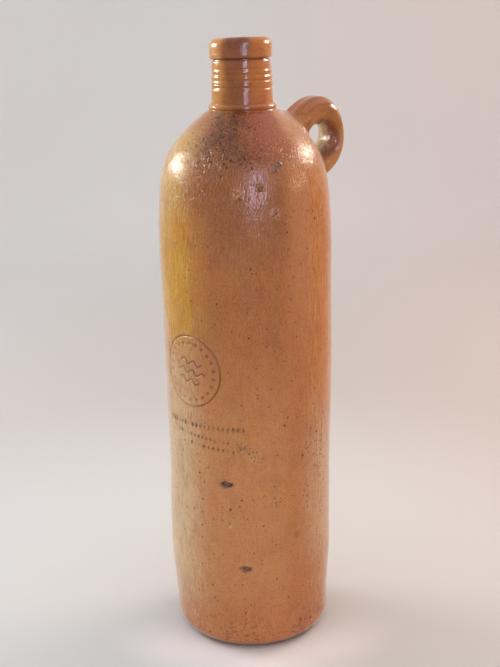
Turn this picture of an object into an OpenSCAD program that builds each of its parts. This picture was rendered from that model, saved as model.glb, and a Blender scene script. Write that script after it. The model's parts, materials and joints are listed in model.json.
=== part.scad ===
// Salt-glazed stoneware bottle for mineral water, drawn at its fired size in millimetres.
// The body, the collared neck and the finger loop are one piece of fired clay.
// The foot stands on z = 0, the axis is the z axis, and the loop stands out along +x.

/* [Body] */
// Height of the wall, from the foot to the start of the shoulder
wall_h = 203; // [150:1:240]
// Outside radius at the start of the shoulder
body_r = 42; // [38:0.1:48]
// How much narrower the wall is where it starts to draw in towards the foot
taper = 0.7; // [0:0.1:3]
// Thickness of the thrown wall
wall_t = 5.5; // [4:0.1:7]

/* [Foot] */
// Height below which the wall draws in towards the foot
draw_h = 48; // [30:1:70]
// How far it draws in from there down to the heel
draw_w = 1.9; // [0:0.1:3]
// Height of the rounded heel
heel_h = 9.5; // [5:0.5:12]
// How far the heel draws in from the wall to the foot
heel_w = 9.2; // [4:0.1:10]
// Thickness of the floor
floor_t = 9; // [6:0.5:14]
// Radius of the corner between floor and wall inside
floor_corner_r = 9; // [4:0.5:14]

/* [Shoulder] */
// Height of the shoulder, from the wall to the neck
shoulder_h = 64; // [52:1:76]
// Slope of the shoulder where it meets the neck, above level
shoulder_slope = 38; // [34:1:48]
// How long the shoulder keeps to the line of the wall
shoulder_fullness = 42; // [36:1:50]
// How long the shoulder keeps to its upper slope
shoulder_run = 28; // [18:1:30]
// Height of clay between the top of the shoulder and the inside
shoulder_clay = 7; // [5:0.5:10]

/* [Neck] */
// Height of the neck, from the shoulder to the collar
neck_h = 24; // [20:0.2:34]
// Outside radius at the foot of the neck
neck_r = 14.8; // [14.2:0.1:17]
// How much narrower the neck is under the collar
neck_taper = 1.1; // [0:0.1:2]
// Radius of the bore that takes the cork
bore_r = 9.5; // [8:0.1:10.5]
// Radius of the bead that covers the joint of neck and shoulder
bead_r = 1.6; // [1:0.1:2.2]
// Number of turned grooves round the neck
groove_count = 4; // [1:1:4]
// Height of the lowest groove above the foot of the neck
groove_z = 10.4; // [8:0.1:11]
// Distance from groove to groove
groove_pitch = 2.9; // [2.6:0.1:3.2]
// Depth of a groove
groove_d = 0.45; // [0.2:0.05:0.9]

/* [Collar] */
// Height of the collar
collar_h = 9.5; // [7:0.1:14]
// How far the collar stands out from the neck
collar_out = 1.2; // [0.6:0.1:2.5]
// Radius of the collar's outer top edge
lip_r = 2.6; // [1.5:0.1:3]
// Radius of the mouth's inner edge
mouth_r = 1.6; // [0.6:0.1:2]

/* [Loop] */
// Height of the loop's root below the foot of the neck
root_drop = 9; // [8:0.5:13]
// Height of the loop's foot above the start of the shoulder
loop_foot_z = 32.5; // [26:0.5:34]
// Steepness of the loop as it leaves the root
root_angle = 56; // [40:1:60]
// How strongly the root throws the loop outward
root_pull = 43.5; // [38:0.5:50]
// Steepness of the loop as it comes back to its foot
foot_angle = 10; // [6:1:24]
// How strongly the foot throws the loop outward
foot_pull = 35; // [30:1:42]
// Width of the strap in the middle of the loop
strap_w = 19; // [14:0.5:22]
// Thickness of the strap in the middle of the loop
strap_t = 7.6; // [7:0.2:11]
// Width to which the root is pressed out on the shoulder
root_w = 26; // [20:0.5:30]
// Thickness of the strap at the root
root_t = 14; // [12:0.5:16]
// Width to which the foot is pressed out on the shoulder
foot_w = 22; // [18:0.5:26]
// Thickness of the strap at the foot
foot_t = 11.5; // [9:0.5:13]
// Number of finger flutes along each face of the strap
flute_count = 3; // [2:1:4]
// Depth of a flute
flute_d = 0.5; // [0:0.1:0.8]

/* [Hidden] */
$fn = 96;

shoulder_top = wall_h + shoulder_h;
collar_z = shoulder_top + neck_h;
bottle_h = collar_z + collar_h;
belly_r = body_r - taper;
heel_r = belly_r - draw_w;
under_collar_r = neck_r - neck_taper;
collar_r = under_collar_r + collar_out;
bore_foot_z = shoulder_top - shoulder_clay;

// How late the neck narrows: 1 is an even taper
neck_ease = 3;
// Share of the drawn stretch of wall over which it turns at each end
draw_ease = 0.3;
// How far the middle of the bead lies inside the face of the neck
bead_inset = 0.1;
// How far the shoulder stands out past the bead
bead_ledge = 0.8;
// The bead is drawn from this angle below level up to its top
bead_start = -50;
bead_centre_r = neck_r - bead_inset;
shoulder_top_r = bead_centre_r + bead_r + bead_ledge;

// Height of the hollow turned in under the collar
undercut_h = 1.2;
// Depth of that hollow
undercut_d = 0.5;
// How far the two ends of the strap run into the clay
strap_end = 7;
// Shares of the strap's length over which its root and its foot draw in
root_share = 0.55;
foot_share = 0.47;
// Below 1, this makes the section of the strap squarer than an ellipse
strap_squareness = 0.82;
// How far the hollow is cut past the top of the lip
cut = 1;

heel_steps = 10;
wall_steps = 8;
shoulder_steps = 30;
bead_steps = 8;
groove_steps = 6;
lip_steps = 6;
strap_rings = 36;
strap_sides = 36;

function arc(centre, r, from, to, steps) =
    [for (i = [0:steps]) let (a = from + (to - from) * i / steps)
        centre + r * [cos(a), sin(a)]];

function bezier(p, t) =
    pow(1 - t, 3) * p[0] + 3 * pow(1 - t, 2) * t * p[1]
    + 3 * (1 - t) * t * t * p[2] + pow(t, 3) * p[3];

function bezier_slope(p, t) =
    3 * pow(1 - t, 2) * (p[1] - p[0]) + 6 * (1 - t) * t * (p[2] - p[1])
    + 3 * t * t * (p[3] - p[2]);

function bezier_points(p, steps) = [for (i = [0:steps]) bezier(p, i / steps)];

// Where along the curve p the height z is reached
function bezier_at_height(p, z, low = 0, high = 1, tries = 24) =
    tries == 0 ? (low + high) / 2
    : let (mid = (low + high) / 2)
        bezier(p, mid)[1] < z ? bezier_at_height(p, z, mid, high, tries - 1)
        : bezier_at_height(p, z, low, mid, tries - 1);

// The shoulder rises in line with the wall and closes to the neck along a straight slope.
function shoulder_curve(r_low, z_low, r_high, z_high, fullness, run) = [
    [r_low, z_low],
    [r_low, z_low + fullness],
    [r_high + run * cos(shoulder_slope), z_high - run * sin(shoulder_slope)],
    [r_high, z_high]];

outer_shoulder = shoulder_curve(body_r, wall_h, shoulder_top_r, shoulder_top,
    shoulder_fullness, shoulder_run);
inner_shoulder = shoulder_curve(body_r - wall_t, wall_h, bore_r, bore_foot_z,
    shoulder_fullness - wall_t, shoulder_run);

// The neck keeps its width most of the way and narrows near its top.
function neck_at(z) = neck_r - neck_taper * pow(z / neck_h, neck_ease);

// A quarter of an ellipse runs from the foot up into the wall.
heel_outline = [for (p = arc([0, 0], 1, -90, 0, heel_steps))
    [heel_r - heel_w + heel_w * p[0], heel_h + heel_h * p[1]]];

// From the heel the wall swells out in a slow curve up to its straight part.
draw_ease_h = draw_ease * (draw_h - heel_h);
drawn_wall = [
    [heel_r, heel_h],
    [heel_r, heel_h + draw_ease_h],
    [belly_r, draw_h - draw_ease_h],
    [belly_r, draw_h]];

bead_outline = arc([bead_centre_r, shoulder_top + bead_r], bead_r, bead_start, 90,
    bead_steps);

// The grooves take this share of the height from one to the next.
groove_share = 0.55;
groove_w = groove_pitch * groove_share;
groove_outline = [for (i = [0:groove_count - 1], k = [0:groove_steps])
    let (z = groove_z + i * groove_pitch + groove_w * (k / groove_steps - 0.5))
        [neck_at(z) - groove_d * pow(sin(180 * k / groove_steps), 2), shoulder_top + z]];

collar_outline = concat(
    [[under_collar_r, collar_z - undercut_h],
     [under_collar_r - undercut_d, collar_z],
     [collar_r, collar_z]],
    arc([collar_r - lip_r, bottle_h - lip_r], lip_r, 0, 90, lip_steps));

module outer_form() {
    rotate_extrude()
        polygon(concat(
            [[0, 0]],
            heel_outline,
            bezier_points(drawn_wall, wall_steps),
            bezier_points(outer_shoulder, shoulder_steps),
            bead_outline,
            groove_outline,
            collar_outline,
            [[0, bottle_h]]));
}

// The inside is one hollow: floor, wall, shoulder and the straight bore up to the mouth.
module inside() {
    inner_heel_r = heel_r - wall_t;
    rotate_extrude()
        polygon(concat(
            [[0, floor_t]],
            arc([inner_heel_r - floor_corner_r, floor_t + floor_corner_r], floor_corner_r,
                -90, 0, heel_steps),
            bezier_points(inner_shoulder, shoulder_steps),
            arc([bore_r + mouth_r, bottle_h - mouth_r], mouth_r, 180, 90, lip_steps),
            [[bore_r + mouth_r, bottle_h + cut], [0, bottle_h + cut]]));
}

// A point on the shoulder at height z, and the same point sunk into the clay along a direction
function on_shoulder(z) = bezier(outer_shoulder, bezier_at_height(outer_shoulder, z));
function sunk(p, angle) = p - strap_end * [cos(angle), sin(angle)];

strap_root = sunk(on_shoulder(shoulder_top - root_drop), root_angle);
strap_foot = sunk(on_shoulder(wall_h + loop_foot_z), foot_angle);
strap_path = [
    strap_root,
    strap_root + root_pull * [cos(root_angle), sin(root_angle)],
    strap_foot + foot_pull * [cos(foot_angle), sin(foot_angle)],
    strap_foot];

function signed_power(v, e) = sign(v) * pow(abs(v), e);

// The strap draws in from its root to the middle of the loop, and widens again to its foot.
function fade(s) = s >= 1 ? 0 : pow(cos(90 * s), 2);
function drawn(t, root, middle, foot) =
    middle + (root - middle) * fade(t / root_share)
    + (foot - middle) * fade((1 - t) / foot_share);

// The outline of the strap's section: along y, and along its thickness
function strap_section(t) =
    let (w = drawn(t, root_w, strap_w, foot_w) / 2, h = drawn(t, root_t, strap_t, foot_t) / 2)
    [for (k = [0:strap_sides - 1])
        let (
            a = 360 * k / strap_sides,
            across = signed_power(cos(a), strap_squareness),
            flute = flute_d * (0.5 - 0.5 * cos(360 * flute_count * (across + 1) / 2)))
        [w * across, h * signed_power(sin(a), strap_squareness) - flute * sin(a)]];

// The strap is pulled along a loop, and both its ends are lost in the wall.
module loop() {
    points = [for (i = [0:strap_rings])
        let (
            t = i / strap_rings,
            c = bezier(strap_path, t),
            d = bezier_slope(strap_path, t),
            n = [-d[1], d[0]] / norm(d))
        for (s = strap_section(t)) [c[0] + n[0] * s[1], s[0], c[1] + n[1] * s[1]]];
    sides = [for (i = [0:strap_rings - 1], k = [0:strap_sides - 1])
        let (
            low = i * strap_sides,
            high = low + strap_sides,
            next = (k + 1) % strap_sides)
        [low + k, high + k, high + next, low + next]];
    first = [for (k = [0:strap_sides - 1]) k];
    last = [for (k = [strap_sides - 1:-1:0]) strap_rings * strap_sides + k];
    polyhedron(points, concat(sides, [first, last]));
}

module bottle() {
    color("peru")
        difference() {
            union() {
                outer_form();
                loop();
            }
            inside();
        }
}

bottle();
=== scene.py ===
"""A salt-glazed stoneware bottle for mineral water: its thrown form, its loop, its glaze and its light.

Shapes are worked out in millimetres, in the frame of the bottle: z is its axis and the loop stands
out along +x. An azimuth is measured round the axis from the -y side, and +x is at 90 degrees.
"""

import json
import math

import bmesh
import bpy
import numpy as np
from mathutils import Matrix, Vector
from mathutils.bvhtree import BVHTree


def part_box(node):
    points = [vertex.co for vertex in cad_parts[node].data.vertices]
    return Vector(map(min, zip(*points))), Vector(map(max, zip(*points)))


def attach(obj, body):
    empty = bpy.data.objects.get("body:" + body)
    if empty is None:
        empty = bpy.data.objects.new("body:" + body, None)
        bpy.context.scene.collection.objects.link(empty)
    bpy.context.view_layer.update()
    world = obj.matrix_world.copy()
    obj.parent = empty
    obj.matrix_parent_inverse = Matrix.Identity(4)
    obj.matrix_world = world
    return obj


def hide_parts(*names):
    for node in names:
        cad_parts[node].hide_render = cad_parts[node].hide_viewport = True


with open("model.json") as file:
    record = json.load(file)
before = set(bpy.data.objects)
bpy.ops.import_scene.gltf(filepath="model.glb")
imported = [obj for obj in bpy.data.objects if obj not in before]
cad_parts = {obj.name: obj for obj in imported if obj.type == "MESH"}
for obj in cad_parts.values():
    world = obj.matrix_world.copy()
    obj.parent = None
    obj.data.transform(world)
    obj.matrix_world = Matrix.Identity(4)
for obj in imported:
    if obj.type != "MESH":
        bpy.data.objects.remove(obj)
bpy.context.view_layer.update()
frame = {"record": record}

MM = 0.001

# The overall sizes come from the frame, and the rest are the sizes of the thrown and pulled forms.
# The ends of the names say what each one is: H a height, W a width, T a thickness, D a depth.
BOX_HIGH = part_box("bottle")[1]
MOUTH = next(mount for mount in frame["record"]["mounts"] if mount["name"] == "mouth")
BOTTLE_H = BOX_HIGH.z / MM
BODY_R = BOX_HIGH.y / MM
LOOP_X = BOX_HIGH.x / MM
BORE_R = MOUTH["dims"]["r_mm"]

WALL_H = 203
WALL_TAPER = 0.7
WALL_T = 5.5
DRAW_H = 48
DRAW_W = 1.9
DRAW_EASE = 0.3
HEEL_H = 9.5
HEEL_W = 9.2
FLOOR_T = 9
FLOOR_CORNER_R = 9
SHOULDER_H = 64
SHOULDER_SLOPE = 38
SHOULDER_FULLNESS = 42
SHOULDER_RUN = 28
SHOULDER_CLAY = 7
NECK_R = 14.8
NECK_TAPER = 1.1
NECK_EASE = 3
BEAD_R = 1.6
BEAD_INSET = 0.1
BEAD_LEDGE = 0.8
BEAD_ARC = (-50, 80)
BEAD_GAP = 0.6
COLLAR_H = 9.5
COLLAR_OUT = 1.2
COLLAR_EDGE_R = 0.9
COLLAR_FLAT = (1.5, 0.8)
LIP_CURVE = (3.2, 3.9)
MOUTH_R = 1.6
UNDERCUT_H = 1.2
UNDERCUT_D = 0.5

SHOULDER_TOP = WALL_H + SHOULDER_H
COLLAR_Z = BOTTLE_H - COLLAR_H
NECK_H = COLLAR_Z - SHOULDER_TOP
BELLY_R = BODY_R - WALL_TAPER
HEEL_R = BELLY_R - DRAW_W
UNDER_COLLAR_R = NECK_R - NECK_TAPER
COLLAR_R = UNDER_COLLAR_R + COLLAR_OUT
BEAD_CENTRE_R = NECK_R - BEAD_INSET
SHOULDER_TOP_R = BEAD_CENTRE_R + BEAD_R + BEAD_LEDGE
BORE_FOOT_Z = SHOULDER_TOP - SHOULDER_CLAY

# The loop is a strap of clay pulled from its root near the neck to its foot on the shoulder. Its
# sizes are widths and thicknesses. In shares of its length, for the width and for the thickness,
# it keeps its full size up to ROOT_HOLD and has thinned to STRAP_SIZE at ROOT_SHARE.
ROOT_DROP = 9.6
LOOP_FOOT_Z = 32.5
ROOT_ANGLE = 59
ROOT_PULL = 43.5
FOOT_ANGLE = 10
FOOT_PULL = 35
STRAP_SIZE = (19, 7.6)
ROOT_SIZE = (22.5, 12.8)
FOOT_SIZE = (22, 11.5)
ROOT_SHARE = (0.5, 0.6)
ROOT_HOLD = (0, 0.28)
FOOT_SHARE = 0.47
STRAP_END = 7
STRAP_SQUARENESS = 0.96
FLUTE_COUNT = 3
FLUTE_D = 0.5


def smooth(value, low, high):
    """Goes from 0 at low to 1 at high along a smooth step, for single numbers and for arrays."""
    share = np.clip((value - low) / (high - low), 0, 1)
    return share * share * (3 - 2 * share)


def direction(azimuth, elevation=0):
    """The unit vector that points from the axis towards an azimuth, raised by an elevation."""
    a, e = math.radians(azimuth), math.radians(elevation)
    return np.array([math.sin(a) * math.cos(e), -math.cos(a) * math.cos(e), math.sin(e)])


# Shared by the pieces


def linked(name, data):
    """A mesh, a camera or a light as an object in the scene."""
    item = bpy.data.objects.new(name, data)
    bpy.context.scene.collection.objects.link(item)
    return item


def moved_to(place):
    return Matrix.Translation(Vector(place * MM))


def rotation(degrees, axis):
    return Matrix.Rotation(math.radians(degrees), 4, axis)


def positions(corners):
    """The places of the corners of a mesh, one row each."""
    return np.array([corner.co[:] for corner in corners])


def around(radius, z, count):
    """Points evenly spaced on a level circle round the axis."""
    return [radius * direction(360 * k / count) + (0, 0, z) for k in range(count)]


def skinned(bm, outlines):
    """Joins closed outlines with the same number of points by a skin, and returns their rings."""
    rings = [[bm.verts.new(point) for point in outline] for outline in outlines]
    for low, high in zip(rings, rings[1:]):
        for k in range(len(low)):
            after = (k + 1) % len(low)
            bm.faces.new([low[k], low[after], high[after], high[k]])
    return rings


def capped(bm, ring, z):
    """Closes a ring with a fan of faces round a point on the axis."""
    middle = bm.verts.new((0, 0, z))
    for k in range(len(ring)):
        bm.faces.new([middle, ring[(k + 1) % len(ring)], ring[k]])


def object_from(bm, name):
    mesh = bpy.data.meshes.new(name)
    bm.to_mesh(mesh)
    bm.free()
    return linked(name, mesh)


# Camera

CAMERA_AZIMUTH = -31
CAMERA_DISTANCE = 538.8
CAMERA_HEIGHT = 304.1
CAMERA_PITCH = 15.35
CAMERA_YAW = 0.15
CAMERA_ROLL = -1.2
LENS = 59.9


def add_camera():
    """The camera looks down on the bottle a little and leans by its roll, as held in the hand."""
    place = CAMERA_DISTANCE * direction(CAMERA_AZIMUTH) + (0, 0, CAMERA_HEIGHT)
    aim = rotation(CAMERA_AZIMUTH - CAMERA_YAW, "Z") @ rotation(90 - CAMERA_PITCH, "X")
    data = bpy.data.cameras.new("camera")
    data.lens = LENS
    data.clip_start = 0.05
    data.clip_end = 20
    camera = linked("camera", data)
    camera.matrix_world = moved_to(place) @ aim @ rotation(CAMERA_ROLL, "Z")
    bpy.context.scene.camera = camera


# Shader nodes


class Nodes:
    """Adds shader nodes to one node tree and links them, with one short call for each kind."""

    def __init__(self, owner):
        owner.use_nodes = True
        self.tree = owner.node_tree
        self.tree.nodes.clear()

    def put(self, socket, value):
        """A socket is linked, and a plain value is set on the input itself."""
        if isinstance(value, bpy.types.NodeSocket):
            self.tree.links.new(value, socket)
        else:
            socket.default_value = value

    def add(self, kind, inputs=None, **settings):
        node = self.tree.nodes.new(kind)
        for name, value in settings.items():
            setattr(node, name, value)
        for name, value in (inputs or {}).items():
            self.put(node.inputs[name], value)
        return node

    def math(self, operation, *values):
        node = self.add("ShaderNodeMath", operation=operation)
        for socket, value in zip(node.inputs, values):
            self.put(socket, value)
        return node.outputs["Value"]

    def together(self, operation, values):
        """All values taken together, such as their sum, or the largest of many spots."""
        result = values[0]
        for value in values[1:]:
            result = self.math(operation, result, value)
        return result

    def times(self, *values):
        """The product of all values, such as masks that all have to hold."""
        return self.together("MULTIPLY", values)

    def vector(self, operation, *values, output="Vector"):
        node = self.add("ShaderNodeVectorMath", operation=operation)
        sockets = [socket for socket in node.inputs if socket.type == "VECTOR"]
        for socket, value in zip(sockets, values):
            self.put(socket, value)
        return node.outputs[output]

    def ramp(self, value, low, high, start=0.0, end=1.0):
        """Goes smoothly from start to end as the value goes from low to high."""
        inputs = {"Value": value, "From Min": low, "From Max": high, "To Min": start, "To Max": end}
        node = self.add("ShaderNodeMapRange", inputs, interpolation_type="SMOOTHSTEP")
        return node.outputs["Result"]

    def mix(self, share, below, above, blend="MIX"):
        """Lays one colour over another by a share from 0 to 1."""
        node = self.add("ShaderNodeMix", data_type="RGBA", blend_type=blend)
        sockets = {socket.identifier: socket for socket in node.inputs}
        self.put(sockets["Factor_Float"], share)
        self.put(sockets["A_Color"], below)
        self.put(sockets["B_Color"], above)
        return next(s for s in node.outputs if s.identifier == "Result_Color")

    def laid(self, tone, layers):
        """A tone under layers, each of them a share, a colour and perhaps a way to blend."""
        for share, above, *blend in layers:
            tone = self.mix(share, tone, above, *blend)
        return tone


def colour(red, green, blue):
    """A colour written as it looks, from 0 to 255, as the linear values that a shader takes."""
    def linear(value):
        share = value / 255
        return share / 12.92 if share <= 0.04045 else ((share + 0.055) / 1.055) ** 2.4

    return (linear(red), linear(green), linear(blue), 1.0)


# Stage and light

FLOOR_R = 1000
SWEEP_R = 500
WALL_TOP = 1700
STAGE_RADII = (60, 150, 300, 500, 750)
STAGE_COLUMNS = 96
FOCUS = np.array([0, 0, 245])
# Painted warm light: the cove paper is tinted warmer towards the right.
PAINTED_WARM_LIGHT = (1.045, 0.93, 0.89, 1.0)


def add_stage():
    """A round studio cove: a pale floor that sweeps up into a wall on every side."""
    floor = [(r, 0) for r in STAGE_RADII]
    sweep = arc((FLOOR_R, SWEEP_R), SWEEP_R, -90, 0, 12)
    outline = np.vstack([floor, sweep, (FLOOR_R + SWEEP_R, WALL_TOP)])
    bm = bmesh.new()
    rings = skinned(bm, [around(r * MM, z * MM, STAGE_COLUMNS) for r, z in outline])
    capped(bm, rings[0], 0)
    bmesh.ops.reverse_faces(bm, faces=bm.faces)
    cove = object_from(bm, "cove")
    cove.data.shade_smooth()
    cove.data.materials.append(cove_material())


def cove_material():
    """Matt paper with painted light before the foot, paler at the sweep and up the wall, and painted
    warm light on the right.

    Distances are in metres here, as the paper's own coordinates are.
    """
    material = bpy.data.materials.new("cove_paper")
    nodes = Nodes(material)
    place = nodes.add("ShaderNodeTexCoord").outputs["Object"]
    away = nodes.vector("LENGTH", place, output="Value")
    ahead = nodes.vector("DOT_PRODUCT", place, tuple(direction(CAMERA_AZIMUTH)), output="Value")
    # Painted light: the paper is paler just in front of the foot, lifting the bottle's shadow there.
    painted_light_before_foot = nodes.times(nodes.ramp(away, 0.085, 0.045), nodes.ramp(ahead, 0.0, 0.045))
    height = nodes.add("ShaderNodeSeparateXYZ", {"Vector": place}).outputs["Z"]
    to_right = tuple(direction(CAMERA_AZIMUTH + 90))
    lateral = nodes.vector("DOT_PRODUCT", place, to_right, output="Value")
    tone = nodes.laid(colour(208, 210, 211), (
        (painted_light_before_foot, colour(240, 238, 242)),
        (nodes.ramp(away, 0.12, 0.4), colour(192, 190, 190)),
        (nodes.ramp(away, 0.42, 1.25), colour(227, 228, 230)),
        (nodes.ramp(height, 0.02, 0.4), colour(234, 236, 237)),
        # Painted warm light on the right of the paper.
        (nodes.ramp(lateral, -0.15, 0.4), PAINTED_WARM_LIGHT, "MULTIPLY"),
    ))
    paper = nodes.add("ShaderNodeBsdfDiffuse", {"Color": tone})
    nodes.add("ShaderNodeOutputMaterial", {"Surface": paper.outputs["BSDF"]})
    return material


def add_softbox(name, azimuth, elevation, distance, size, tint, brightness, lean=0):
    """A soft panel that faces the bottle. Its azimuth is from the camera's, positive to the right."""
    width, height = size
    place = FOCUS + distance * direction(CAMERA_AZIMUTH + azimuth, elevation)
    data = bpy.data.lights.new(name, "AREA")
    data.shape = "RECTANGLE"
    data.size = width * MM
    data.size_y = height * MM
    data.color = tint
    data.energy = brightness * math.pi * data.size * data.size_y
    panel = linked(name, data)
    aim = Vector((FOCUS - place) * MM).to_track_quat("-Z", "Y").to_matrix().to_4x4()
    panel.matrix_world = moved_to(place) @ aim @ rotation(lean, "Z")
    panel.visible_camera = False
    return panel


def add_world():
    """Even light from above, from the open top of the cove."""
    world = bpy.data.worlds.new("studio")
    bpy.context.scene.world = world
    nodes = Nodes(world)
    sky = nodes.add("ShaderNodeBackground", {"Color": (1.0, 0.985, 0.97, 1.0), "Strength": 1.0})
    nodes.add("ShaderNodeOutputWorld", {"Surface": sky.outputs["Background"]})


def add_lights():
    """Soft panels light the bottle from both sides, and windows show as highlights in its glaze."""
    lighting = (
        add_softbox("left_panel", -114, 15, 800, (370, 250), (0.98, 0.98, 1.0), 11.0),
        add_softbox("right_panel", 122, 21, 800, (420, 230), (1.0, 0.8, 0.62), 10.0),
    )
    for panel in lighting:
        panel.visible_glossy = False
    shown = (
        add_softbox("left_window", -112.5, 15.5, 780, (320, 175), (1.0, 0.98, 0.92), 36.0),
        add_softbox("right_window", 120, 22.5, 780, (310, 130), (1.0, 0.93, 0.78), 36.0),
        add_softbox("front_window", 16.5, 15, 1000, (190, 700), (0.72, 0.68, 1.0), 18.0, -12),
    )
    for panel in shown:
        panel.visible_diffuse = False
    add_world()


# Outline of the thrown form


def arc(centre, radius, start, end, steps):
    """Points on a circular arc of the outline, from one angle in degrees to another."""
    angles = np.radians(np.linspace(start, end, steps + 1))
    return np.array(centre) + radius * np.column_stack([np.cos(angles), np.sin(angles)])


def bezier(points, t):
    a, b, c, d = np.array(points)
    t = t[:, None]
    return (1 - t) ** 3 * a + 3 * (1 - t) ** 2 * t * b + 3 * (1 - t) * t**2 * c + t**3 * d


def bezier_slope(points, t):
    a, b, c, d = np.array(points)
    t = t[:, None]
    return 3 * (1 - t) ** 2 * (b - a) + 6 * (1 - t) * t * (c - b) + 3 * t**2 * (d - c)


def shoulder_curve(low, high, fullness):
    """The shoulder rises in line with the wall and closes to the neck along a straight slope."""
    slope = math.radians(SHOULDER_SLOPE)
    lean = (high[0] + SHOULDER_RUN * math.cos(slope), high[1] - SHOULDER_RUN * math.sin(slope))
    return [low, (low[0], low[1] + fullness), lean, high]


OUTER_SHOULDER = shoulder_curve((BODY_R, WALL_H), (SHOULDER_TOP_R, SHOULDER_TOP), SHOULDER_FULLNESS)
INNER_SHOULDER = shoulder_curve(
    (BODY_R - WALL_T, WALL_H), (BORE_R, BORE_FOOT_Z), SHOULDER_FULLNESS - WALL_T
)


def line(start, end, pitch):
    """Points along a straight stretch of the outline, about one pitch apart."""
    steps = max(1, round(math.dist(start, end) / pitch))
    return np.linspace(start, end, steps + 1)


# Each groove of the neck: height above the foot of the neck, width and depth.
GROOVES = (
    (10.6, 2.3, 0.34),
    (12.4, 1.4, 0.14),
    (13.9, 2.0, 0.32),
    (16.6, 2.2, 0.36),
    (19.1, 1.8, 0.22),
)


def neck_outline():
    """The neck narrows near its top, with turned grooves round its middle."""
    above = np.linspace(BEAD_R + BEAD_GAP, NECK_H - UNDERCUT_H, 60)
    radius = NECK_R - NECK_TAPER * (above / NECK_H) ** NECK_EASE
    for height, width, depth in GROOVES:
        away = np.abs(above - height) / (width / 2)
        radius = radius - depth * np.where(away < 1, np.cos(away * math.pi / 2) ** 2, 0)
    return np.column_stack([radius, SHOULDER_TOP + above])


# Distances between points of the outline, closer where the wall is stamped.
WALL_PITCH = 2.4
STAMPED_PITCH = 1.5
COLLAR_PITCH = 1.2
INNER_PITCH = 10
BORE_PITCH = 5
STAMPED_LOW = 100
STAMPED_HIGH = 168


def outer_outline():
    """From the edge of the foot up to the crown of the lip, as pairs of radius and height."""
    ease = DRAW_EASE * (DRAW_H - HEEL_H)
    drawn_low = [(HEEL_R, HEEL_H), (HEEL_R, HEEL_H + ease)]
    drawn_high = [(BELLY_R, DRAW_H - ease), (BELLY_R, DRAW_H)]
    collar_low = (COLLAR_R, COLLAR_Z + COLLAR_FLAT[0])
    collar_high = (COLLAR_R, BOTTLE_H - LIP_CURVE[1] - COLLAR_FLAT[1])

    def wall_at(z):
        return (BELLY_R + WALL_TAPER * (z - DRAW_H) / (WALL_H - DRAW_H), z)

    return np.vstack([
        (HEEL_R - HEEL_W, HEEL_H) + arc((0, 0), 1, -90, 0, 12)[:-1] * (HEEL_W, HEEL_H),
        bezier(drawn_low + drawn_high, np.linspace(0, 1, 17))[:-1],
        line(wall_at(DRAW_H), wall_at(STAMPED_LOW), WALL_PITCH)[:-1],
        line(wall_at(STAMPED_LOW), wall_at(STAMPED_HIGH), STAMPED_PITCH)[:-1],
        line(wall_at(STAMPED_HIGH), wall_at(WALL_H), WALL_PITCH)[:-1],
        bezier(OUTER_SHOULDER, np.linspace(0, 1, 41)),
        arc((BEAD_CENTRE_R, SHOULDER_TOP + BEAD_R), BEAD_R, *BEAD_ARC, 9),
        neck_outline(),
        arc((UNDER_COLLAR_R, COLLAR_Z - UNDERCUT_D), UNDERCUT_D, 180, 90, 3),
        arc((COLLAR_R - COLLAR_EDGE_R, COLLAR_Z + COLLAR_EDGE_R), COLLAR_EDGE_R, -90, 0, 4),
        line(collar_low, collar_high, COLLAR_PITCH),
        (COLLAR_R - LIP_CURVE[0], BOTTLE_H - LIP_CURVE[1]) + arc((0, 0), 1, 0, 90, 10) * LIP_CURVE,
    ])


def inner_outline():
    """From the crown of the mouth down the bore and the inside to the edge of the floor."""
    corner_r = HEEL_R - WALL_T - FLOOR_CORNER_R
    corner_z = FLOOR_T + FLOOR_CORNER_R
    return np.vstack([
        arc((BORE_R + MOUTH_R, BOTTLE_H - MOUTH_R), MOUTH_R, 90, 180, 6)[:-1],
        line((BORE_R, BOTTLE_H - MOUTH_R), (BORE_R, BORE_FOOT_Z), BORE_PITCH)[:-1],
        bezier(INNER_SHOULDER, np.linspace(1, 0, 15))[:-1],
        line((BODY_R - WALL_T, WALL_H), (HEEL_R - WALL_T, corner_z), INNER_PITCH)[:-1],
        arc((corner_r, corner_z), FLOOR_CORNER_R, 0, -90, 6),
    ])


OUTER = outer_outline()


def outer_radius(z):
    """The radius of the outside of the wall and the shoulder at a height."""
    return np.interp(z, OUTER[:, 1], OUTER[:, 0])


def beyond_wall(points):
    """How far points lie outside the outline, less than 0 inside it."""
    return np.hypot(points[:, 0], points[:, 1]) - outer_radius(points[:, 2])


def on_wall(azimuth, z):
    """The point on the outside at an azimuth and a height."""
    return outer_radius(z) * direction(azimuth) + (0, 0, z)


# Marks in the clay


def unrolled(points, azimuth, z):
    """How far points on the outside lie from one place on it, round the bottle and up it."""
    turn = np.arctan2(points[:, 0], -points[:, 1]) - math.radians(azimuth)
    turn = (turn + math.pi) % math.tau - math.pi
    slope = (outer_radius(z + 1) - outer_radius(z - 1)) / 2
    return turn * outer_radius(z), (points[:, 2] - z) * math.hypot(1, slope)


def turned(u, v, angle):
    """The same distances along axes that are turned by an angle in degrees."""
    c, s = math.cos(math.radians(angle)), math.sin(math.radians(angle))
    return u * c + v * s, v * c - u * s


def dent(distance, width):
    """A rounded dip, 1 deep in its middle and gone about one width away."""
    return np.exp(-((distance / width) ** 2) * 2)


STAMP_AZIMUTH = -73.5
STAMP_Z = 146.5
STAMP_TURN = -9
STAMP_R = 17.5
STAMP_LINE = 0.75
STAMP_BEADS = 22
STAMP_BEAD_RING = 14.2
STAMP_BEAD_R = 1.5
WAVE_LENGTHS = (14, 19, 14)
WAVE_SPACING = 4.6
WAVE_PITCH = 6.2
WAVE_HEIGHT = 1.1
STAMP_DEPTH = 0.55


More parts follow.
